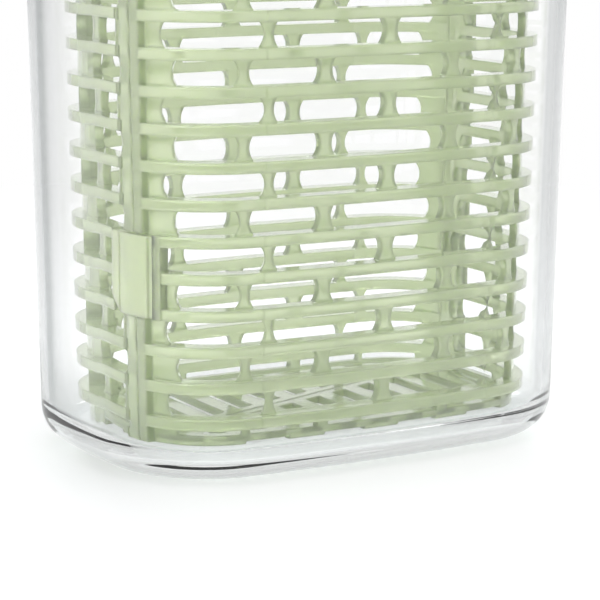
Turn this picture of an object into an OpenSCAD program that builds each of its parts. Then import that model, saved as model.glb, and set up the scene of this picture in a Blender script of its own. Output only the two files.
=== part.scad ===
// Herb keeper: a clear outer container, a slatted basket of two shells that
// stands in it, and a lid with a seal and an adjustable vent.
// Frame: the origin is the middle of the footprint on the table, X runs along
// the long side, -Y is the front, +Z is up. Sizes are millimetres.

/* [Container] */
// Length of the container at the table
base_length = 134.1; // [130:0.1:150]
// Depth of the container at the table
base_depth = 91.3; // [89:0.1:110]
// Radius of the upright corners at the table
base_corner = 32; // [28:0.5:34]
// Height to the rim
container_h = 215; // [213:1:230]
// Thickness of the wall
container_wall = 2.4; // [2:0.1:2.4]
// Thickness of the floor
container_floor = 5.6; // [4:0.1:5.6]
// Outward lean of the wall, in degrees
container_lean = 1; // [0.5:0.05:1.5]
// Rounding of the lower edge
base_round = 10; // [8:0.5:12]
// How far the bead at the rim stands proud
rim_bead = 0.8; // [0.4:0.1:1.2]

/* [Basket] */
// Length of the basket over its wall, taken down to the table
basket_length = 110.6; // [106:0.1:112]
// Depth of the basket over its wall, taken down to the table
basket_depth = 66.6; // [64:0.1:68]
// Corner radius of the wall, taken down to the table
basket_corner = 19.9; // [16:0.1:22]
// Outward lean of the basket wall, in degrees
basket_lean = 1.17; // [0.8:0.01:1.2]
// Thickness of the slatted wall
shell_wall = 2.4; // [2:0.1:3]
// Underside of the basket, above the table
basket_foot_z = 6; // [6:0.1:6.2]
// Top edge of the basket, above the table
basket_top_z = 203.6; // [201:0.1:204.2]
// Where the basket stands in the container, along X
basket_x = 1.4; // [-2:0.1:1.5]
// Where the basket stands in the container, along Y
basket_y = -0.9; // [-2:0.1:2]

/* [Ribs and slots] */
// Middle of the lowest rib, above the table
first_rib_z = 13.6; // [13.2:0.1:14.2]
// Height from one rib to the next
rib_pitch = 9.15; // [9:0.05:9.2]
// Number of ribs
rib_count = 21; // [15:1:21]
// Thickness of a rib
rib_h = 2.8; // [2:0.1:3.2]
// How far a rib stands out from the wall
rib_reach = 2.8; // [2:0.1:3]
// Radius of the rounded slot ends
slot_end_r = 5; // [3.5:0.5:8]

/* [Latch and hinge] */
// Direction of the split between the shells, in degrees from the side's normal
split_turn = 9.3; // [8:0.1:11]
// Gap between the shells at the split
split_gap = 0.5; // [0.4:0.1:0.8]
// Ribs that the latch spans, lowest first
latch_first_rib = 3; // [2:1:8]
// Thickness of the latch block
latch_t = 2.9; // [2.5:0.1:3]
// Radius of a hinge knuckle
knuckle_r = 1.9; // [1.8:0.1:2]
// Radius of the hinge pins
pin_r = 1; // [0.8:0.1:1.1]

/* [Lid] */
// Thickness of the cap
cap_t = 2.4; // [2:0.1:3]
// Depth of the cap's skirt below the rim
skirt_h = 8; // [6:0.5:10]
// Radius of the vent dial
dial_r = 25; // [22:0.5:28]
// Radius of each vent port
port_r = 2.4; // [1.5:0.1:3]
// Number of vent ports
port_count = 6; // [4:1:8]

/* [Hidden] */
$fa = 2.5;
$fs = 0.4;

clear_tint = "#DDE9EC";
basket_green = "#A9BC86";
latch_green = "#B9C98F";
lid_white = "#F1F2EC";
seal_green = "#8FA86B";

running = 0.06;      // radial clearance of a pin that turns
apart = 0.35;        // gap between pieces that pass each other

// An outline is [half length, half depth, corner radius]: four corners and four
// bowed sides that meet without a step. Every place on it is named by the
// direction that the wall faces there, in degrees from +X. All the centres and
// radii come out as round numbers, because the sine and cosine of the bow are.
container_outline = [base_length / 2, base_depth / 2, base_corner];
basket_outline = [basket_length / 2, basket_depth / 2, basket_corner];

bow_sin = 0.07584;
bow_cos = 0.99712;
bow = asin(bow_sin);
span_step = 6.25;
function exact(x) = round(x * 1000) / 1000;

// Distance from the centre of a side's arc to the centres of its corners
function span(o, along, across) =
    let (
        rise = (1 - bow_cos) / bow_sin,
        d = (o[along] - o[2] - rise * (o[across] - o[2])) / (bow_sin - rise * (1 - bow_cos))
    )
    span_step * round(d / span_step);
function corner_x(o) = bow_sin * span(o, 0, 1);
function corner_y(o) = bow_sin * span(o, 1, 0);
function long_r(o) = o[2] + span(o, 0, 1);
function short_r(o) = o[2] + span(o, 1, 0);

// Arcs of an outline: [first direction, last direction, centre, radius]
function arcs(o) =
    let (
        cx = corner_x(o),
        cy = corner_y(o),
        ly = cy - bow_cos * span(o, 0, 1),
        sx = cx - bow_cos * span(o, 1, 0)
    ) [
        [-bow, bow, [sx, 0], short_r(o)],
        [bow, 90 - bow, [cx, cy], o[2]],
        [90 - bow, 90 + bow, [0, ly], long_r(o)],
        [90 + bow, 180 - bow, [-cx, cy], o[2]],
        [180 - bow, 180 + bow, [-sx, 0], short_r(o)],
        [180 + bow, 270 - bow, [-cx, -cy], o[2]],
        [270 - bow, 270 + bow, [0, -ly], long_r(o)],
        [270 + bow, 360 - bow, [cx, -cy], o[2]]
    ];

// One place on an outline, by direction
function place(o, d, out) =
    let (a = [for (s = arcs(o)) if (d >= s[0] && d < s[1]) s][0])
    a[2] + (a[3] + out) * [cos(d), sin(d)];

// Half sizes of the two crossed blocks that fill an outline between its corners
function block_x(o, out) = corner_x(o) - (o[2] + out) * bow_sin;
function block_y(o, out) = corner_y(o) - (o[2] + out) * bow_sin;
function side_arcs(o) = [for (i = [0, 2, 4, 6]) arcs(o)[i]];

// The corner discs stand proud by a hair so that they cross the long arcs
// instead of only touching them.
hair = 0.02;
long_fn = 720;       // segments of the long arcs where they are drawn as a mesh

module crossed_blocks(o, out) {
    far = 4 * o[2];
    square([2 * block_x(o, out) + far, 2 * block_y(o, out)], center = true);
    square([2 * block_x(o, out), 2 * block_y(o, out) + far], center = true);
    square([2 * corner_x(o), 2 * corner_y(o)], center = true);
}

module at_corners(o) {
    for (x = [-1, 1])
        for (y = [-1, 1])
            translate([x * corner_x(o), y * corner_y(o)])
                children();
}

// The filled outline moved outwards, of true arcs
module blank(o, out) {
    intersection() {
        intersection_for (a = side_arcs(o))
            translate(a[2])
                circle(r = a[3] + out, $fn = long_fn);
        union() {
            at_corners(o)
                circle(r = o[2] + out + hair);
            crossed_blocks(o, out);
        }
    }
}

// Carries a profile round a whole outline. In the profile, x is the distance
// outwards from the outline and y is the height. Each arc is a full turn about
// its centre, cut to its own share of the plan.
module all_round(o, z0, z1) {
    cx = corner_x(o);
    cy = corner_y(o);
    far = 100;
    steep = far * [bow_sin, bow_cos];
    flat = far * [bow_cos, bow_sin];
    for (x = [-1, 1])
        for (y = [-1, 1]) {
            c = [x * cx, y * cy];
            share(c, o[2], z0, z1, [
                c,
                c + [x * flat[0], y * flat[1]],
                c + [x * far, y * far],
                c + [x * steep[0], y * steep[1]]
            ])
                children();
        }
    for (y = [-1, 1])
        share([0, y * (cy - bow_cos * span(o, 0, 1))], long_r(o), z0, z1, [
            [-cx, y * cy],
            [-cx - steep[0], y * (cy + steep[1])],
            [cx + steep[0], y * (cy + steep[1])],
            [cx, y * cy]
        ])
            children();
    for (x = [-1, 1])
        share([x * (cx - bow_cos * span(o, 1, 0)), 0], short_r(o), z0, z1, [
            [x * cx, -cy],
            [x * (cx + flat[0]), -cy - flat[1]],
            [x * (cx + flat[0]), cy + flat[1]],
            [x * cx, cy]
        ])
            children();
}

module share(centre, r, z0, z1, plan) {
    intersection() {
        translate(centre)
            rotate_extrude($fn = r > 100 ? long_fn : 0)
                translate([r, 0])
                    children();
        translate([0, 0, z0 - 1])
            linear_extrude(height = z1 - z0 + 2)
                polygon(plan);
    }
}

module ring(o, inner, outer) {
    difference() {
        blank(o, outer);
        blank(o, inner);
    }
}

// A patch over the part of an outline between two directions
module patch(o, from, to) {
    polygon([
        place(o, from, -8),
        place(o, from, 12),
        place(o, (from + to) / 2, 14),
        place(o, to, 12),
        place(o, to, -8)
    ]);
}

// ---- Container ----

function container_out(z) = exact(z * tan(container_lean));

floor_reach = 3;     // how far the wall's section goes in along the floor
inner_round = 7;     // rounding between the wall and the floor, inside

module container_section() {
    left = -base_round - floor_reach;
    difference() {
        section_of(base_round, 0, left) {
            bead_z = container_h - 5;
            polygon([
                [left, base_round],
                [container_out(base_round), base_round],
                [container_out(bead_z - 0.8), bead_z - 0.8],
                [rim_bead + container_out(bead_z), bead_z],
                [rim_bead + container_out(container_h), container_h - 0.6],
                [rim_bead - 0.6 + container_out(container_h), container_h],
                [left, container_h]
            ]);
        }
        hollow_z = container_floor + inner_round;
        translate([-container_wall, container_floor])
            section_of(inner_round, hollow_z, left - 1)
                polygon([
                    [left - 1, inner_round],
                    [container_out(hollow_z), inner_round],
                    [container_out(container_h + 1), container_h + 1 - container_floor],
                    [left - 1, container_h + 1 - container_floor]
                ]);
    }
}

// A profile with a rounded lower right corner of radius r. The wall meets the
// rounding where it stands wall_z above the table.
module section_of(r, wall_z, left) {
    x = container_out(wall_z == 0 ? r : wall_z) - r;
    translate([x, r])
        intersection() {
            circle(r = r);
            translate([0, -r])
                square(r);
        }
    translate([left, 0])
        square([x - left, r]);
    children();
}

module container() {
    color(clear_tint, 0.35) {
        all_round(container_outline, 0, container_h)
            container_section();
        linear_extrude(height = container_floor)
            blank(container_outline, -base_round - floor_reach / 2);
    }
}

// ---- Basket shells ----

function rib_z(i) = first_rib_z + i * rib_pitch;
function row_z(i) = rib_z(i) + rib_pitch / 2;
function lean_out(z) = z * tan(basket_lean);

foot_h = 1.6;
floor_z = basket_foot_z + foot_h;
floor_t = 2;
band_top_z = 10.3;
flange_turns = [8, 6.3];
flange_reach = 2.4;
row_h = rib_pitch - rib_h;
latch_last_rib = latch_first_rib + 2;

// Where the slots begin and end along the front shell, as places in plan at the
// height measured. Rows take turns between the two lists, like brickwork. The
// middle of the pattern lies a little to the right of the basket's middle.
slot_plan_z = 109.2;
pattern_x = 3.3;
post_w = 3.1;
wall_y = -35.4;
even_posts = [pattern_x - 34.9, pattern_x, pattern_x + 34.7];
odd_posts = [pattern_x - 41.4, pattern_x - 18.7, pattern_x + 19, pattern_x + 41.5];
side_x = 57.4;
even_slots = [
    [[-54.4, -22.8], [even_posts[0] - post_w / 2, wall_y + 0.6]],
    [[even_posts[0] + post_w / 2, wall_y], [even_posts[1] - post_w / 2, wall_y]],
    [[even_posts[1] + post_w / 2, wall_y], [even_posts[2] - post_w / 2, wall_y]],
    [[even_posts[2] + post_w / 2, wall_y + 1.2], [46.8, -31.2]],
    [[56.3, -20], [side_x, -9.4]],
    [[side_x, -6.3], [side_x, 8.7]]
];
odd_slots = [
    [[-52.7, -25.1], [odd_posts[0] - post_w / 2, wall_y + 1.6]],
    [[odd_posts[0] + post_w / 2, wall_y + 0.6], [odd_posts[1] - post_w / 2, wall_y]],
    [[odd_posts[1] + post_w / 2, wall_y], [odd_posts[2] - post_w / 2, wall_y]],
    [[odd_posts[2] + post_w / 2, wall_y], [odd_posts[3] - post_w / 2, wall_y + 1.6]],
    [[odd_posts[3] + post_w / 2, -31.5], [55.6, -21]],
    [[side_x, -11.4], [side_x, 11.2]]
];

function plan_scale(z) =
    (basket_outline[0] + lean_out(z)) / (basket_outline[0] + lean_out(slot_plan_z));

// A slot right through the wall: straight in the middle, with rounded ends
module slot(ends, z, end_r) {
    p = ends[0] * plan_scale(z);
    q = ends[1] * plan_scale(z);
    middle = (p + q) / 2;
    w = norm(q - p);
    translate([middle[0], middle[1], z])
        rotate([0, 0, atan2(q[1] - p[1], q[0] - p[0])])
            rotate([90, 0, 0]) {
                translate([0, 0, -8])
                    for (side = [-1, 1])
                        translate([side * (w / 2 - end_r), 0, 0])
                            cylinder(r = end_r, h = 16);
                cube([w - 0.8 * end_r, 1.6 * end_r, 16], center = true);
            }
}

// Plan of the front shell's share of the outline: all that lies in front of a
// line from one split, through the two corner centres, to the other
module front_share(back_off) {
    cx = corner_x(basket_outline);
    cy = corner_y(basket_outline);
    reach = 60 * [cos(split_turn), sin(split_turn)];
    translate(back_off * [sin(split_turn), -cos(split_turn)])
        polygon([
            [-cx, -cy] - reach,
            [-cx, -cy],
            [cx, cy],
            [cx, cy] + reach,
            [150, -150],
            [-150, -150]
        ]);
}

// Where the flanges are, in plan. The ribs reach over them a little.
module flange_patches(overlap) {
    patch(basket_outline, 180 + split_turn - 1, 180 + split_turn + flange_turns[0] - overlap);
    patch(basket_outline, split_turn - flange_turns[1] + overlap, split_turn + 1);
}

// Everything a level of the shell has in plan: the wall, or a rib where reach is
// above nothing, and the flanges along both splits
module level(z0, h, reach, latch_turn = undef) {
    out = lean_out(z0 + h / 2);
    translate([0, 0, z0])
        linear_extrude(height = h)
            difference() {
                intersection() {
                    front_share(split_gap / 2);
                    union() {
                        difference() {
                            ring(basket_outline, out - shell_wall, out + reach);
                            if (reach > flange_reach)
                                flange_patches(0.5);
                        }
                        intersection() {
                            ring(basket_outline, out - shell_wall, out + flange_reach);
                            flange_patches(0);
                        }
                    }
                }
                if (!is_undef(latch_turn))
                    rotate([0, 0, latch_turn])
                        latch_clear();
            }
}

module slotted_level(z0, h, slots, end_r, latch_turn = undef) {
    difference() {
        level(z0, h, 0, latch_turn);
        for (ends = slots)
            slot(ends, z0 + h / 2, end_r);
    }
}

// One shell in the place of the front one, before its hinge and latch parts
module plain_shell(latch_turn) {
    rim_z = basket_top_z - rib_h;
    last_z = rib_z(rib_count - 1) + rib_h / 2;
    difference() {
        level(basket_foot_z, foot_h, 0);
        foot_gaps();
    }
    level(floor_z, band_top_z - floor_z, 0);
    slotted_level(band_top_z, rib_z(0) - rib_h / 2 - band_top_z, odd_slots, 2.2);
    for (i = [0 : rib_count - 1]) {
        at_latch = i >= latch_first_rib && i <= latch_last_rib;
        level(rib_z(i) - rib_h / 2, rib_h, rib_reach, at_latch ? latch_turn : undef);
        if (i < rib_count - 1)
            slotted_level(rib_z(i) + rib_h / 2, row_h, i % 2 == 0 ? even_slots : odd_slots,
                slot_end_r, at_latch && i < latch_last_rib ? latch_turn : undef);
    }
    level(last_z, rim_z - last_z, 0);
    level(rim_z, rib_h, rib_reach);
    shell_floor();
    lift_tab();
}

// Gaps between the feet, for water to run in and out
module foot_gaps() {
    for (x = [-30, -8, 14, 36])
        translate([x, -basket_depth / 2, basket_foot_z])
            cube([12, 20, 2 * foot_h + 2], center = true);
    translate([basket_length / 2, -4, basket_foot_z])
        cube([20, 12, 2 * foot_h + 2], center = true);
}

// Each shell carries its own half of the slotted floor
module shell_floor() {
    slot_w = 5;
    slot_step = 10.2;
    out = lean_out(floor_z + floor_t / 2);
    translate([0, 0, floor_z])
        linear_extrude(height = floor_t)
            difference() {
                intersection() {
                    blank(basket_outline, out - shell_wall / 2);
                    front_share(split_gap / 2);
                }
                intersection() {
                    blank(basket_outline, out - shell_wall - 3.5);
                    front_share(3);
                    for (i = [-5 : 5])
                        translate([i * slot_step - slot_w / 2, -100])
                            square([slot_w, 200]);
                }
            }
}

// Grip for two fingers above the rim, at the middle of the long side
module lift_tab() {
    tab_w = 30;
    tab_h = 7;
    tab_t = 1.4;
    round_r = 4;
    hole_r = 1.8;
    hole_x = 6.5;
    hole_z = 4;
    out = lean_out(basket_top_z - rib_h / 2);
    translate([0, -basket_depth / 2 - out + 0.5 + tab_t, basket_top_z - 1])
        rotate([90, 0, 0])
            linear_extrude(height = tab_t)
                difference() {
                    union() {
                        translate([-tab_w / 2, 0])
                            square([tab_w, tab_h + 1 - round_r]);
                        translate([-tab_w / 2 + round_r, 0])
                            square([tab_w - 2 * round_r, tab_h + 1]);
                        for (side = [-1, 1])
                            translate([side * (tab_w / 2 - round_r), tab_h + 1 - round_r])
                                circle(r = round_r);
                    }
                    for (side = [-1, 1])
                        translate([side * hole_x, hole_z])
                            circle(r = hole_r);
                    translate([-hole_x, hole_z - hole_r])
                        square([2 * hole_x, 2 * hole_r]);
                }
}

// ---- Hinge ----

hinge_out = 1.35;
knuckle_h = 8;
hinge_starts = [31, 149];

module on_hinge_line(z) {
    axis = place(basket_outline, split_turn, hinge_out);
    translate([axis[0], axis[1], 0])
        rotate([0, 0, split_turn])
            rotate([0, basket_lean, 0])
                translate([0, 0, z])
                    children();
}

// Knuckles of one shell: the front shell has the middle one of each three
module knuckles(middle) {
    for (start = hinge_starts)
        for (k = middle ? [1] : [0, 2])
            on_hinge_line(start + k * knuckle_h + running)
                cylinder(r = knuckle_r, h = knuckle_h - 2 * running);
}

// Bores for both pins, also through the wall and the ribs that they meet
module pin_bores() {
    for (start = hinge_starts)
        on_hinge_line(start - apart)
            cylinder(r = pin_r + running, h = 3 * knuckle_h + 2 * apart);
}

module knuckle_room(middle) {
    for (start = hinge_starts)
        for (k = middle ? [1] : [0, 2])
            on_hinge_line(start + k * knuckle_h)
                cylinder(r = knuckle_r + apart, h = knuckle_h);
}

module hinge_pin(start) {
    on_hinge_line(start)
        cylinder(r = pin_r, h = 3 * knuckle_h);
}

module hinge_pin_lower() {
    color(basket_green)
        in_container()
            hinge_pin(hinge_starts[0]);
}

module hinge_pin_upper() {
    color(basket_green)
        in_container()
            hinge_pin(hinge_starts[1]);
}

// ---- Latch ----

latch_from = 182;
latch_to = 202.6;
root_turn = 204.6;
seat_to = 211;
latch_z0 = rib_z(latch_first_rib) - rib_h / 2 + apart;
latch_z1 = rib_z(latch_last_rib) + rib_h / 2 - apart;
latch_out = lean_out(latch_z1) + 0.1;    // face of the shells behind the latch
root_out = latch_out + 1.5;
root_r = 1.3;

// Plan of the space left free of ribs and flanges for the latch
module latch_clear() {
    intersection() {
        ring(basket_outline, latch_out, 9);
        patch(basket_outline, latch_from - 0.25, seat_to - 1);
    }
}

module on_latch_root() {
    axis = place(basket_outline, root_turn, root_out);
    translate([axis[0], axis[1], 0])
        children();
}

// Upright post with a groove that the rolled edge of the latch clips into
module latch_seat() {
    translate([0, 0, latch_z0 - apart])
        linear_extrude(height = latch_z1 - latch_z0 + 2 * apart)
            difference() {
                intersection() {
                    ring(basket_outline, latch_out - 1, latch_out + rib_reach);
                    patch(basket_outline, root_turn - 1, seat_to);
                }
                on_latch_root()
                    circle(r = root_r + running);
                intersection() {
                    ring(basket_outline, latch_out + 0.3, 9);
                    patch(basket_outline, root_turn - 3, root_turn + 0.5);
                }
            }
}

module latch_body() {
    lip_z = row_z(latch_first_rib + 1);
    lip_h = 4.4;
    corner = place(basket_outline, latch_from, latch_out);
    difference() {
        translate([0, 0, latch_z0])
            linear_extrude(height = latch_z1 - latch_z0) {
                intersection() {
                    ring(basket_outline, latch_out + apart, latch_out + apart + latch_t);
                    patch(basket_outline, latch_from, latch_to);
                }
                intersection() {
                    ring(basket_outline, latch_out + 0.75, latch_out + 2.2);
                    patch(basket_outline, latch_to - 1, root_turn);
                }
                on_latch_root()
                    circle(r = root_r);
            }
        // sloping lower corner at the free end
        translate([corner[0], corner[1], latch_z0])
            rotate([45, 0, 0])
                cube([20, 6, 6], center = true);
    }
    // lip that goes into a slot of the rear shell and holds behind its edge
    translate([0, 0, lip_z - lip_h / 2])
        linear_extrude(height = lip_h)
            intersection() {
                ring(basket_outline, latch_out - 1.8, latch_out + apart + 0.5);
                patch(basket_outline, latch_from + 0.1, latch_from + 0.45);
            }
}

module in_container() {
    translate([basket_x, basket_y, 0])
        children();
}

module front_shell() {
    color(basket_green)
        in_container()
            difference() {
                union() {
                    difference() {
                        plain_shell(0);
                        knuckle_room(false);
                    }
                    latch_seat();
                    knuckles(true);
                }
                pin_bores();
            }
}

module rear_shell() {
    color(basket_green)
        in_container()
            difference() {
                union() {
                    difference() {
                        rotate([0, 0, 180])
                            plain_shell(180);
                        knuckle_room(true);
                    }
                    knuckles(false);
                }
                pin_bores();
            }
}

module snap_latch() {
    color(latch_green)
        in_container()
            latch_body();
}

// ---- Lid ----

rim_out = container_out(container_h);
mouth_out = container_out(container_h - 6) - container_wall;
cap_z = container_h + 0.3;
cap_top = cap_z + cap_t;
skirt_t = 2;
skirt_in = rim_out + rim_bead + 0.5;
skirt_out = skirt_in + skirt_t;
well_r = dial_r + 0.4;
well_floor_z = cap_z - 3.4;
well_floor_t = 2;
plug_z = container_h - 9;
plug_out = mouth_out - 0.9;
plug_plate_z = cap_z - 2.9;
seal_z = plug_z + 2;
seal_h = 3.2;
seal_depth = 1.2;
port_circle = 16;
hub_r = 4;
vent_seal_t = 0.8;
dial_z = well_floor_z + well_floor_t + vent_seal_t + 0.05;
dial_t = 3.4;
clip_z = well_floor_z - 1.2;
clip_t = 0.9;

module cap_section() {
    skirt_z = container_h - skirt_h;
    edge_x = skirt_out - cap_t;
    // skirt outside the rim
    translate([skirt_in, skirt_z])
        square([skirt_t, cap_z - skirt_z]);
    // rounded top edge
    translate([edge_x, cap_z])
        intersection() {
            circle(r = cap_t);
            square(cap_t);
        }
    translate([edge_x - floor_reach, cap_z])
        square([floor_reach, cap_t]);
}

module port_holes(r, turn) {
    for (i = [0 : port_count - 1])
        rotate([0, 0, turn + i * 360 / port_count])
            translate([port_circle, 0, -20])
                cylinder(r = r, h = 40);
}

module lid_cap() {
    color(lid_white)
        difference() {
            union() {
                all_round(container_outline, container_h - skirt_h, cap_top)
                    cap_section();
                translate([0, 0, cap_z])
                    linear_extrude(height = cap_t)
                        blank(container_outline, skirt_out - cap_t - floor_reach / 2);
                translate([0, 0, well_floor_z])
                    cylinder(r = well_r + 2, h = cap_z - well_floor_z + 1);
            }
            translate([0, 0, well_floor_z + well_floor_t])
                cylinder(r = well_r, h = 20);
            cylinder(r = hub_r + running, h = 2 * container_h);
            translate([0, 0, well_floor_z])
                port_holes(port_r, 0);
        }
}

module lid_plug() {
    plate_t = 1.6;
    color(lid_white)
        difference() {
            translate([0, 0, plug_z])
                linear_extrude(height = cap_z - plug_z)
                    blank(container_outline, plug_out);
            translate([0, 0, plug_z - 1])
                linear_extrude(height = plug_plate_z - plug_z + 1)
                    blank(container_outline, plug_out - 2.2);
            translate([0, 0, plug_plate_z + plate_t])
                linear_extrude(height = cap_z)
                    blank(container_outline, plug_out - 2.2);
            translate([0, 0, seal_z])
                linear_extrude(height = seal_h)
                    ring(container_outline, plug_out - seal_depth, plug_out + 1);
            translate([0, 0, plug_z])
                cylinder(r = well_r + 2 + apart, h = 20);
        }
}

// Soft ring with two lips, in the groove round the plug
module lid_seal() {
    lip_h = 0.7;
    color(seal_green) {
        translate([0, 0, seal_z])
            linear_extrude(height = seal_h)
                ring(container_outline, plug_out - seal_depth, plug_out);
        for (z = [seal_z + 0.3, seal_z + seal_h - 0.3 - lip_h])
            translate([0, 0, z])
                linear_extrude(height = lip_h)
                    ring(container_outline, plug_out - 0.5, plug_out + 0.6);
    }
}

module vent_dial() {
    grip_w = 9;
    grip_h = 6;
    color(basket_green)
        difference() {
            union() {
                translate([0, 0, dial_z])
                    cylinder(r = dial_r - 1, h = dial_t);
                translate([0, 0, dial_z])
                    cylinder(r = dial_r, h = dial_t - 1);
                translate([0, 0, dial_z])
                    intersection() {
                        cylinder(r = dial_r - 1.5, h = dial_t + grip_h);
                        translate([-dial_r, -grip_w / 2, 0])
                            cube([2 * dial_r, grip_w, dial_t + grip_h]);
                    }
                translate([0, 0, clip_z - 1])
                    cylinder(r = hub_r, h = dial_z - clip_z + 1.5);
            }
            translate([0, 0, dial_z])
                port_holes(port_r, 180 / port_count);
            // neck that the clip snaps round
            translate([0, 0, clip_z])
                difference() {
                    cylinder(r = hub_r + 1, h = clip_t + 0.1);
                    cylinder(r = hub_r - 0.8, h = clip_t + 0.1);
                }
        }
}

module vent_seal() {
    color(seal_green)
        difference() {
            translate([0, 0, well_floor_z + well_floor_t])
                cylinder(r = dial_r - 2.5, h = vent_seal_t);
            cylinder(r = hub_r + 0.6, h = 2 * container_h);
            translate([0, 0, well_floor_z])
                port_holes(port_r, 0);
        }
}

module dial_clip() {
    color(lid_white)
        translate([0, 0, clip_z + 0.05])
            difference() {
                cylinder(r = hub_r + 3, h = clip_t);
                translate([0, 0, -1])
                    cylinder(r = hub_r - 0.75, h = clip_t + 2);
                translate([0, -2.4, -1])
                    cube([hub_r + 5, 4.8, clip_t + 2]);
            }
}

container();
rear_shell();
front_shell();
snap_latch();
hinge_pin_lower();
hinge_pin_upper();
lid_cap();
lid_plug();
lid_seal();
vent_dial();
vent_seal();
dial_clip();
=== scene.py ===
import bpy
import math
from mathutils import Matrix, Vector


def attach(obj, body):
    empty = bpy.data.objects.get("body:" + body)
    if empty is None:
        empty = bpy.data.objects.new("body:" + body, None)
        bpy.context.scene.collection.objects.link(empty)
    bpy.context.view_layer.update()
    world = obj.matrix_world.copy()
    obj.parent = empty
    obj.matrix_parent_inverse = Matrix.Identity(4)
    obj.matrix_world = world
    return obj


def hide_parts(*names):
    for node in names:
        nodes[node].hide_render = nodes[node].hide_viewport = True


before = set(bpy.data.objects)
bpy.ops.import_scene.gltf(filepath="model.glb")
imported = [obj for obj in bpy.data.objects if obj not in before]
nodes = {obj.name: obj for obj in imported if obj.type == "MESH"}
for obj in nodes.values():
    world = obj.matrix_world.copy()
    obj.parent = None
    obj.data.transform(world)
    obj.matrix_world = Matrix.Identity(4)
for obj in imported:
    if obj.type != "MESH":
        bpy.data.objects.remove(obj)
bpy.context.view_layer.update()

print("frame loaded:", len(nodes), "nodes")


# small helpers that every material uses

def newMaterial(name):
    mat = bpy.data.materials.new(name)
    mat.use_nodes = True
    tree = mat.node_tree
    tree.nodes.clear()
    return mat, tree


def addNode(tree, kind, x, y, **values):
    made = tree.nodes.new(kind)
    made.location = (x, y)
    for key, value in values.items():
        setattr(made, key, value)
    return made


grainGroupSettings = {
    "waveScale": 38.0,
    "fineScale": 900.0,
    "cloudScale": 26.0,
    "waveDetail": 1.5,
    "fineDetail": 3.0,
    "cloudDetail": 4.0,
    "middleTone": 0.5,
}


def makeMoldedGroup():
    # slow waves of moulded plastic, a fine grain and a cloudy change of tone
    group = bpy.data.node_groups.new("moldedSurface", "ShaderNodeTree")
    for label, default in (("Wave Height", 0.3), ("Grain Height", 0.08), ("Tone Spread", 0.5)):
        socket = group.interface.new_socket(label, in_out="INPUT", socket_type="NodeSocketFloat")
        socket.default_value = default
    group.interface.new_socket("Height", in_out="OUTPUT", socket_type="NodeSocketFloat")
    group.interface.new_socket("Tone", in_out="OUTPUT", socket_type="NodeSocketFloat")
    source = addNode(group, "NodeGroupInput", -900, 0)
    target = addNode(group, "NodeGroupOutput", 500, 0)
    place = addNode(group, "ShaderNodeTexCoord", -900, -300)
    noises = []
    for row, kind in ((200, "wave"), (-50, "fine"), (-350, "cloud")):
        texture = addNode(group, "ShaderNodeTexNoise", -600, row)
        texture.inputs["Scale"].default_value = grainGroupSettings[kind + "Scale"]
        texture.inputs["Detail"].default_value = grainGroupSettings[kind + "Detail"]
        group.links.new(place.outputs["Object"], texture.inputs["Vector"])
        noises.append(texture)
    waves, grain, clouds = noises
    waveAmount = addNode(group, "ShaderNodeMath", -300, 200, operation="MULTIPLY")
    group.links.new(waves.outputs["Fac"], waveAmount.inputs[0])
    group.links.new(source.outputs["Wave Height"], waveAmount.inputs[1])
    grainAmount = addNode(group, "ShaderNodeMath", -300, -50, operation="MULTIPLY")
    group.links.new(grain.outputs["Fac"], grainAmount.inputs[0])
    group.links.new(source.outputs["Grain Height"], grainAmount.inputs[1])
    height = addNode(group, "ShaderNodeMath", 0, 100, operation="ADD")
    group.links.new(waveAmount.outputs[0], height.inputs[0])
    group.links.new(grainAmount.outputs[0], height.inputs[1])
    centred = addNode(group, "ShaderNodeMath", -300, -350, operation="SUBTRACT")
    centred.inputs[1].default_value = grainGroupSettings["middleTone"]
    group.links.new(clouds.outputs["Fac"], centred.inputs[0])
    spread = addNode(group, "ShaderNodeMath", 0, -350, operation="MULTIPLY_ADD")
    spread.inputs[2].default_value = grainGroupSettings["middleTone"]
    group.links.new(centred.outputs[0], spread.inputs[0])
    group.links.new(source.outputs["Tone Spread"], spread.inputs[1])
    group.links.new(height.outputs[0], target.inputs["Height"])
    group.links.new(spread.outputs[0], target.inputs["Tone"])
    return group


moldedGroup = makeMoldedGroup()


def placeMolded(tree, wave, grain, tone):
    made = addNode(tree, "ShaderNodeGroup", -900, 0)
    made.node_tree = moldedGroup
    made.inputs["Wave Height"].default_value = wave
    made.inputs["Grain Height"].default_value = grain
    made.inputs["Tone Spread"].default_value = tone
    return made


def setRoughness(tree, look, surface, shader):
    # the cloudy tone also moves the roughness a little
    rough = addNode(tree, "ShaderNodeMapRange", -550, -50)
    rough.inputs["To Min"].default_value = look["roughness"] * look["roughLow"]
    rough.inputs["To Max"].default_value = look["roughness"] * look["roughHigh"]
    tree.links.new(surface.outputs["Tone"], rough.inputs["Value"])
    tree.links.new(rough.outputs["Result"], shader.inputs["Roughness"])


def setBump(tree, look, surface, shader):
    bump = addNode(tree, "ShaderNodeBump", -250, -350)
    bump.inputs["Strength"].default_value = look["bump"]
    bump.inputs["Distance"].default_value = look["bumpDepth"]
    tree.links.new(surface.outputs["Height"], bump.inputs["Height"])
    tree.links.new(bump.outputs["Normal"], shader.inputs["Normal"])
    return bump


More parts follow.
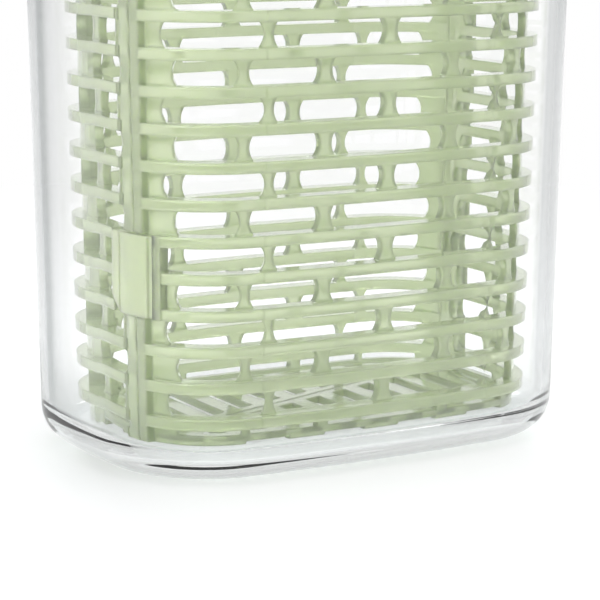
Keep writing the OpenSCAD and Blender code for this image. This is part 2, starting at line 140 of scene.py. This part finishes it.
def moldedPlastic(look):
    mat, tree = newMaterial(look["name"])
    out = addNode(tree, "ShaderNodeOutputMaterial", 500, 0)
    shader = addNode(tree, "ShaderNodeBsdfPrincipled", 150, 0)
    surface = placeMolded(tree, look["wave"], look["grain"], look["toneSpread"])
    tone = addNode(tree, "ShaderNodeValToRGB", -550, 250)
    tone.color_ramp.elements[0].color = (*look["dark"], 1)
    tone.color_ramp.elements[0].position = look["toneFrom"]
    tone.color_ramp.elements[1].color = (*look["light"], 1)
    tone.color_ramp.elements[1].position = look["toneTo"]
    tree.links.new(surface.outputs["Tone"], tone.inputs["Fac"])
    tree.links.new(tone.outputs["Color"], shader.inputs["Base Color"])
    setRoughness(tree, look, surface, shader)
    bump = setBump(tree, look, surface, shader)
    rounded = addNode(tree, "ShaderNodeBevel", -550, -450)
    rounded.samples = look["edgeSamples"]
    rounded.inputs["Radius"].default_value = look["edgeRadius"]
    tree.links.new(rounded.outputs["Normal"], bump.inputs["Normal"])
    shader.inputs["IOR"].default_value = look["ior"]
    shader.inputs["Coat Weight"].default_value = look["coat"]
    shader.inputs["Coat Roughness"].default_value = look["coatRoughness"]
    shader.inputs["Transmission Weight"].default_value = look["seeThrough"]
    shader.inputs["Subsurface Weight"].default_value = look["glow"]
    shader.inputs["Subsurface Radius"].default_value = look["glowRadius"]
    shader.inputs["Subsurface Scale"].default_value = look["glowScale"]
    if look["seeThrough"] > 0:  # part of each shadow ray passes
        letThrough = addNode(tree, "ShaderNodeBsdfTransparent", 150, -450)
        letThrough.inputs["Color"].default_value = (*look["shadowTint"], 1)
        path = addNode(tree, "ShaderNodeLightPath", 150, 350)
        mix = addNode(tree, "ShaderNodeMixShader", 350, 0)
        share = addNode(tree, "ShaderNodeMath", 350, 300, operation="MULTIPLY")
        share.inputs[1].default_value = look["shadowShare"]
        tree.links.new(path.outputs["Is Shadow Ray"], share.inputs[0])
        tree.links.new(share.outputs[0], mix.inputs["Fac"])
        tree.links.new(shader.outputs["BSDF"], mix.inputs[1])
        tree.links.new(letThrough.outputs["BSDF"], mix.inputs[2])
        tree.links.new(mix.outputs["Shader"], out.inputs["Surface"])
    else:
        tree.links.new(shader.outputs["BSDF"], out.inputs["Surface"])
    return mat


def clearPlastic(look):
    mat, tree = newMaterial(look["name"])
    out = addNode(tree, "ShaderNodeOutputMaterial", 600, 0)
    shader = addNode(tree, "ShaderNodeBsdfPrincipled", 150, 0)
    surface = placeMolded(tree, look["wave"], look["grain"], look["toneSpread"])
    # painted shade: the base colour turns grey towards grazing angles, darkest in a band near the
    # outline, standing in for dark surroundings reflected and refracted in the wall
    facing = addNode(tree, "ShaderNodeLayerWeight", -900, 350)
    facing.inputs["Blend"].default_value = look["edgeBlend"]
    edge = addNode(tree, "ShaderNodeValToRGB", -550, 350)
    stops = edge.color_ramp.elements
    stops[0].position = look["paintedShadeStart"]
    stops[0].color = (*look["middle"], 1)
    stops[1].position = 1.0
    stops[1].color = (*look["edge"], 1)
    paintedShadeStop = stops.new(look["paintedShadeAt"])
    paintedShadeStop.color = (*look["paintedShadeBand"], 1)
    tree.links.new(facing.outputs["Facing"], edge.inputs["Fac"])
    # the thick foot gets a painted grey, paler than the painted shade at the wall's edges
    place = addNode(tree, "ShaderNodeTexCoord", -900, 650)
    parts = addNode(tree, "ShaderNodeSeparateXYZ", -700, 650)
    footMask = addNode(tree, "ShaderNodeMapRange", -500, 650)
    footMask.inputs["From Min"].default_value = look["footFrom"]
    footMask.inputs["From Max"].default_value = look["footTo"]
    footMask.inputs["To Min"].default_value = look["paintedFootGreyShare"]
    footMask.inputs["To Max"].default_value = 0.0
    paintedFootGreyMix = addNode(tree, "ShaderNodeMix", -200, 450, data_type="RGBA")
    paintedFootGreyMix.inputs["B"].default_value = (*look["paintedFootGrey"], 1)
    tree.links.new(place.outputs["Object"], parts.inputs["Vector"])
    tree.links.new(parts.outputs["Z"], footMask.inputs["Value"])
    tree.links.new(footMask.outputs["Result"], paintedFootGreyMix.inputs["Factor"])
    tree.links.new(edge.outputs["Color"], paintedFootGreyMix.inputs["A"])
    tree.links.new(paintedFootGreyMix.outputs["Result"], shader.inputs["Base Color"])
    setRoughness(tree, look, surface, shader)
    setBump(tree, look, surface, shader)
    shader.inputs["IOR"].default_value = look["ior"]
    shader.inputs["Transmission Weight"].default_value = 1.0
    letThrough = addNode(tree, "ShaderNodeBsdfTransparent", 150, -450)
    letThrough.inputs["Color"].default_value = (*look["shadowTint"], 1)
    path = addNode(tree, "ShaderNodeLightPath", 150, 350)
    mix = addNode(tree, "ShaderNodeMixShader", 400, 0)
    tree.links.new(path.outputs["Is Shadow Ray"], mix.inputs["Fac"])
    tree.links.new(shader.outputs["BSDF"], mix.inputs[1])
    tree.links.new(letThrough.outputs["BSDF"], mix.inputs[2])
    tree.links.new(mix.outputs["Shader"], out.inputs["Surface"])
    return mat


def dress(nodeName, mat):
    thing = nodes[nodeName]
    thing.data.materials.clear()
    thing.data.materials.append(mat)


def startAlone():
    if bpy.context.mode != "OBJECT":
        bpy.ops.object.mode_set(mode="OBJECT")
    bpy.ops.object.select_all(action="DESELECT")


def pickEdges(thing, test):
    # selects the edges whose two ends both pass the test
    bpy.ops.object.mode_set(mode="OBJECT")
    mesh = thing.data
    for face in mesh.polygons:
        face.select = False
    for edge in mesh.edges:
        edge.select = False
    for vertex in mesh.vertices:
        vertex.select = test(vertex.co)
    for edge in mesh.edges:
        edge.select = all(mesh.vertices[end].select for end in edge.vertices)
    bpy.ops.object.mode_set(mode="EDIT")


# the clear container: its finish with painted shade towards its edges, and its shape in metres

containerSettings = {
    "name": "clearContainerPlastic",
    # the middle, darkest and edge colours below are painted shade that darkens the clear plastic
    # towards grazing angles
    "middle": (0.995, 0.998, 0.998),
    "paintedShadeBand": (0.36, 0.38, 0.38),
    "edge": (0.66, 0.68, 0.68),
    "paintedShadeStart": 0.53,
    "paintedShadeAt": 0.66,
    # painted grey on the foot, fading out upwards between footFrom and footTo
    "paintedFootGrey": (0.86, 0.88, 0.88),
    "paintedFootGreyShare": 0.75,
    "footFrom": 0.006,
    "footTo": 0.018,
    "edgeBlend": 0.5,
    "roughness": 0.015,
    "roughLow": 0.5,
    "roughHigh": 1.5,
    "wave": 0.4,
    "grain": 0.0,
    "toneSpread": 0.6,
    "bump": 0.15,
    "bumpDepth": 0.0003,
    "ior": 1.5,
    "shadowTint": (0.93, 0.95, 0.95),
    "shape": {
        "corner": 0.032,
        "cornerCentre": (0.034602, 0.012324),
        "sideReach": (0.45625, 0.1625),
        "bowDegrees": 4.3495,
        "cornerSteps": 16,
        "sideSteps": 8,
        "wall": 0.0024,
        "floor": 0.0056,
        "leanDegrees": 1.0,
        "baseRound": 0.010,
        "baseSteps": 8,
        "wallSteps": 12,
        "innerRound": 0.007,
        "innerSteps": 7,
        "height": 0.215,
        "bead": 0.0008,
        "beadDrop": 0.005,
        "rimCut": 0.0006,
        "lipCut": 0.0004,
        "insets": (0.003, 0.005, 0.007),
        "smoothDegrees": 40,
        "onTable": 0.00001,
    },
}


def outlinePlaces(shape, out):
    # points round the footprint, moved outwards by the given length
    centreX, centreY = shape["cornerCentre"]
    farX, farY = shape["sideReach"]
    bow = shape["bowDegrees"]
    cosine = math.cos(math.radians(bow))
    sideY = centreY - cosine * farX
    sideX = centreX - cosine * farY
    arcs = [
        (-bow, bow, (sideX, 0), shape["corner"] + farY, shape["sideSteps"]),
        (bow, 90 - bow, (centreX, centreY), shape["corner"], shape["cornerSteps"]),
        (90 - bow, 90 + bow, (0, sideY), shape["corner"] + farX, shape["sideSteps"] * 2),
        (90 + bow, 180 - bow, (-centreX, centreY), shape["corner"], shape["cornerSteps"]),
        (180 - bow, 180 + bow, (-sideX, 0), shape["corner"] + farY, shape["sideSteps"]),
        (180 + bow, 270 - bow, (-centreX, -centreY), shape["corner"], shape["cornerSteps"]),
        (270 - bow, 270 + bow, (0, -sideY), shape["corner"] + farX, shape["sideSteps"] * 2),
        (270 + bow, 360 - bow, (centreX, -centreY), shape["corner"], shape["cornerSteps"]),
    ]
    places = []
    for first, last, centre, radius, steps in arcs:
        for step in range(steps):
            turn = math.radians(first + (last - first) * step / steps)
            reach = radius + out
            places.append((centre[0] + reach * math.cos(turn), centre[1] + reach * math.sin(turn)))
    return places


def vesselRings(shape):
    # height and outward move of each ring: up the outside, over the rim, down the inside
    lean = math.tan(math.radians(shape["leanDegrees"]))
    rounding, height, wall = shape["baseRound"], shape["height"], shape["wall"]
    bead, inner = shape["bead"], shape["innerRound"]
    beadAt = height - shape["beadDrop"]
    rings = []
    for step in range(shape["baseSteps"] + 1):
        turn = math.radians(90 * step / shape["baseSteps"])
        across = rounding * lean - rounding + rounding * math.sin(turn)
        rings.append((rounding - rounding * math.cos(turn), across))
    wallSteps = shape["wallSteps"]
    for step in range(1, wallSteps + 1):
        level = rounding + (beadAt - bead - rounding) * step / wallSteps
        rings.append((level, level * lean))
    rings.append((beadAt, beadAt * lean + bead))
    rings.append((height - shape["rimCut"], height * lean + bead))
    rings.append((height, height * lean + bead - shape["rimCut"]))
    rings.append((height, height * lean - wall + shape["lipCut"]))
    innerTop = height - shape["lipCut"]
    innerZ = shape["floor"] + inner
    for step in range(wallSteps + 1):
        level = innerTop - (innerTop - innerZ) * step / wallSteps
        rings.append((level, level * lean - wall))
    innerX = innerZ * lean - wall - inner
    for step in range(1, shape["innerSteps"] + 1):
        turn = math.radians(90 * step / shape["innerSteps"])
        rings.append((innerZ - inner * math.sin(turn), innerX + inner * math.cos(turn)))
    return rings


def closeWithFace(shape):
    # the picked ring becomes a flat face, with smaller rings inside it
    bpy.ops.mesh.edge_face_add()
    for thickness in shape["insets"]:
        bpy.ops.mesh.inset(thickness=thickness)


def makeVessel(shape):
    startAlone()
    rings = vesselRings(shape)
    below = outlinePlaces(shape, rings[0][1])
    count = len(below)
    bpy.ops.mesh.primitive_circle_add(vertices=count, radius=shape["corner"], fill_type="NOTHING")
    vessel = bpy.context.active_object
    vessel.name = "clearVessel"
    for vertex, place in zip(vessel.data.vertices, below):
        vertex.co = (*place, 0)
    bpy.ops.object.mode_set(mode="EDIT")
    bpy.ops.mesh.select_all(action="SELECT")
    for height, out in rings[1:]:
        bpy.ops.mesh.extrude_region_move(TRANSFORM_OT_translate={"value": (0, 0, shape["wall"])})
        bpy.ops.object.mode_set(mode="OBJECT")
        places = outlinePlaces(shape, out)
        for vertex in vessel.data.vertices:
            if vertex.select:
                nearest = min(range(count), key=lambda i: math.dist(below[i], vertex.co[:2]))
                vertex.co = (*places[nearest], height)
        below = places
        bpy.ops.object.mode_set(mode="EDIT")
    closeWithFace(shape)  # the floor inside, from the last ring
    pickEdges(vessel, lambda co: co.z < shape["onTable"])
    closeWithFace(shape)  # the base, from the first ring
    bpy.ops.mesh.select_all(action="SELECT")
    bpy.ops.mesh.normals_make_consistent(inside=False)
    bpy.ops.object.mode_set(mode="OBJECT")
    bpy.ops.object.shade_smooth_by_angle(angle=math.radians(shape["smoothDegrees"]))
    print("vessel rings:", len(rings), "points each:", count)
    return vessel


vessel = makeVessel(containerSettings["shape"])
clearMaterial = clearPlastic(containerSettings)
vessel.data.materials.append(clearMaterial)
dress("container", clearMaterial)
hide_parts("container")
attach(vessel, "container_body")
print("container made")


# the slatted basket with its pins and the latch

basketLook = {
    "name": "greenBasketPlastic",
    "dark": (0.66, 0.76, 0.46),
    "light": (0.78, 0.86, 0.58),
    "toneSpread": 0.7,
    "toneFrom": 0.25,
    "toneTo": 0.75,
    "wave": 0.5,
    "grain": 0.1,
    "bump": 0.25,
    "bumpDepth": 0.0004,
    "roughness": 0.11,
    "roughLow": 0.85,
    "roughHigh": 1.15,
    "ior": 1.47,
    "coat": 0.8,
    "coatRoughness": 0.06,
    "seeThrough": 0.72,
    "glow": 0.5,
    "glowRadius": (0.9, 1.0, 0.6),
    "glowScale": 0.003,
    "edgeRadius": 0.0012,
    "edgeSamples": 8,
    "shadowTint": (0.72, 0.86, 0.58),
    "shadowShare": 0.45,
}
latchLook = dict(basketLook, name="paleLatchPlastic", dark=(0.72, 0.82, 0.50), light=(0.80, 0.88, 0.58),
                 seeThrough=0.4, shadowShare=0.3)

basketPlastic = moldedPlastic(basketLook)
for shellName in ("rear_shell", "front_shell", "hinge_pin_lower", "hinge_pin_upper"):
    dress(shellName, basketPlastic)
dress("snap_latch", moldedPlastic(latchLook))
print("basket dressed")


# the lid, its seals and the vent dial

lidLook = dict(basketLook, name="whiteLidPlastic", dark=(0.80, 0.81, 0.78), light=(0.86, 0.87, 0.84),
               seeThrough=0.0, glow=0.1, roughness=0.32, coat=0.2)
sealLook = dict(basketLook, name="softSealRubber", dark=(0.36, 0.48, 0.25), light=(0.42, 0.54, 0.30),
                seeThrough=0.0, glow=0.2, roughness=0.6, coat=0.0)
dialLook = dict(basketLook, name="greenDialPlastic", dark=(0.46, 0.62, 0.32), light=(0.52, 0.68, 0.38),
                seeThrough=0.0, glow=0.2, coat=0.5)
lidPlastic = moldedPlastic(lidLook)
for lidName in ("lid_cap", "lid_plug", "dial_clip"):
    dress(lidName, lidPlastic)
sealRubber = moldedPlastic(sealLook)
for sealName in ("lid_seal", "vent_seal"):
    dress(sealName, sealRubber)
dress("vent_dial", moldedPlastic(dialLook))
print("lid dressed")


# floor, air, lamps and camera

stageLook = {
    "floorSize": 30.0,
    "floorColor": (0.86, 0.86, 0.86),
    "floorRoughness": 0.7,
    "ownWhite": 0.27,
    "nearReach": 0.10,
    "farReach": 0.50,
    "airColor": (0.95, 0.97, 1.0),
    "airStrength": 0.42,
    "plainWhite": 1.0,
}


def makeFloor():
    startAlone()
    bpy.ops.mesh.primitive_plane_add(size=stageLook["floorSize"], location=(0, 0, 0))
    floor = bpy.context.active_object
    floor.name = "studioFloor"
    mat, tree = newMaterial("studioFloorPaint")
    out = addNode(tree, "ShaderNodeOutputMaterial", 750, 0)
    shader = addNode(tree, "ShaderNodeBsdfPrincipled", 0, 0)
    shader.inputs["Base Color"].default_value = (*stageLook["floorColor"], 1)
    shader.inputs["Roughness"].default_value = stageLook["floorRoughness"]
    white = addNode(tree, "ShaderNodeEmission", 0, -250)
    farWhite = addNode(tree, "ShaderNodeEmission", 300, -250)
    farWhite.inputs["Strength"].default_value = stageLook["plainWhite"]
    path = addNode(tree, "ShaderNodeLightPath", -500, 350)
    seen = addNode(tree, "ShaderNodeMath", -250, 350, operation="MAXIMUM")
    tree.links.new(path.outputs["Is Camera Ray"], seen.inputs[0])
    tree.links.new(path.outputs["Is Transmission Ray"], seen.inputs[1])
    seenToo = addNode(tree, "ShaderNodeMath", -250, 150, operation="MAXIMUM")
    tree.links.new(seen.outputs[0], seenToo.inputs[0])
    tree.links.new(path.outputs["Is Glossy Ray"], seenToo.inputs[1])
    strength = addNode(tree, "ShaderNodeMath", -250, -250, operation="MULTIPLY")
    strength.inputs[1].default_value = stageLook["ownWhite"]
    tree.links.new(seenToo.outputs[0], strength.inputs[0])
    tree.links.new(strength.outputs[0], white.inputs["Strength"])
    # away from the object, where the lamps fall off, the floor turns plain white
    place = addNode(tree, "ShaderNodeTexCoord", -1000, -500)
    away = addNode(tree, "ShaderNodeVectorMath", -800, -500, operation="LENGTH")
    rise = addNode(tree, "ShaderNodeMapRange", -550, -500, interpolation_type="SMOOTHSTEP")
    rise.inputs["From Min"].default_value = stageLook["nearReach"]
    rise.inputs["From Max"].default_value = stageLook["farReach"]
    farShare = addNode(tree, "ShaderNodeMath", -250, -500, operation="MULTIPLY")
    tree.links.new(place.outputs["Object"], away.inputs[0])
    tree.links.new(away.outputs["Value"], rise.inputs["Value"])
    tree.links.new(rise.outputs["Result"], farShare.inputs[0])
    tree.links.new(seen.outputs[0], farShare.inputs[1])
    both = addNode(tree, "ShaderNodeAddShader", 300, 0)
    spread = addNode(tree, "ShaderNodeMixShader", 550, 0)
    tree.links.new(shader.outputs["BSDF"], both.inputs[0])
    tree.links.new(white.outputs["Emission"], both.inputs[1])
    tree.links.new(farShare.outputs[0], spread.inputs["Fac"])
    tree.links.new(both.outputs["Shader"], spread.inputs[1])
    tree.links.new(farWhite.outputs["Emission"], spread.inputs[2])
    tree.links.new(spread.outputs["Shader"], out.inputs["Surface"])
    floor.data.materials.append(mat)


def makeWorld():
    world = bpy.data.worlds.new("studioAir")
    bpy.context.scene.world = world
    world.use_nodes = True
    tree = world.node_tree
    tree.nodes.clear()
    out = addNode(tree, "ShaderNodeOutputWorld", 400, 0)
    air = addNode(tree, "ShaderNodeBackground", 0, 100)
    air.inputs["Color"].default_value = (*stageLook["airColor"], 1)
    air.inputs["Strength"].default_value = stageLook["airStrength"]
    white = addNode(tree, "ShaderNodeBackground", 0, -100)
    white.inputs["Color"].default_value = (1, 1, 1, 1)
    white.inputs["Strength"].default_value = stageLook["plainWhite"]
    path = addNode(tree, "ShaderNodeLightPath", -300, 300)
    seen = addNode(tree, "ShaderNodeMath", 0, 300, operation="MAXIMUM")
    tree.links.new(path.outputs["Is Camera Ray"], seen.inputs[0])
    tree.links.new(path.outputs["Is Transmission Ray"], seen.inputs[1])
    mix = addNode(tree, "ShaderNodeMixShader", 200, 0)
    tree.links.new(seen.outputs[0], mix.inputs["Fac"])
    tree.links.new(air.outputs[0], mix.inputs[1])
    tree.links.new(white.outputs[0], mix.inputs[2])
    tree.links.new(mix.outputs["Shader"], out.inputs["Surface"])


lampSettings = [
    {"name": "overheadSoftbox", "at": (0.1, -0.1, 1.5), "size": 0.9, "power": 9.5},
    {"name": "leftSoftbox", "at": (-1.4, -0.7, 0.9), "size": 0.5, "power": 8.0},
    {"name": "rightSoftbox", "at": (1.5, -0.7, 0.8), "size": 1.2, "power": 5.5},
    {"name": "rearSoftbox", "at": (0.6, 1.3, 1.1), "size": 0.6, "power": 8.0},
]


lampAim = (0, 0, 0.1)


def makeLamps():
    for each in lampSettings:
        light = bpy.data.lights.new(each["name"], "AREA")
        light.shape = "SQUARE"
        light.size = each["size"]
        light.energy = each["power"]
        lamp = bpy.data.objects.new(each["name"], light)
        bpy.context.scene.collection.objects.link(lamp)
        lamp.location = each["at"]
        aim = Vector(lampAim) - Vector(each["at"])
        lamp.rotation_euler = aim.to_track_quat("-Z", "Y").to_euler()


cameraSettings = {
    "at": (-0.31599, -0.53240, 0.15158),
    "forward": (0.50181, 0.84453, -0.18699),
    "rollDegrees": 0.24,
    "lens": 141.73,
    "sensor": 36.0,
    "shiftY": 0.0122,
    "clipStart": 0.05,
    "clipEnd": 60.0,
}


def makeCamera():
    data = bpy.data.cameras.new("photoCamera")
    data.sensor_width = cameraSettings["sensor"]
    data.lens = cameraSettings["lens"]
    data.shift_y = cameraSettings["shiftY"]
    data.clip_start = cameraSettings["clipStart"]
    data.clip_end = cameraSettings["clipEnd"]
    eye = bpy.data.objects.new("photoCamera", data)
    bpy.context.scene.collection.objects.link(eye)
    forward = Vector(cameraSettings["forward"]).normalized()
    eye.rotation_mode = "QUATERNION"
    turn = forward.to_track_quat("-Z", "Y").to_matrix().to_4x4()
    roll = Matrix.Rotation(math.radians(cameraSettings["rollDegrees"]), 4, "Z")
    eye.matrix_world = Matrix.Translation(cameraSettings["at"]) @ turn @ roll
    bpy.context.scene.camera = eye


makeFloor()
makeWorld()
makeLamps()
makeCamera()
bpy.context.scene.view_settings.view_transform = "Standard"
print("stage, lamps and camera set")
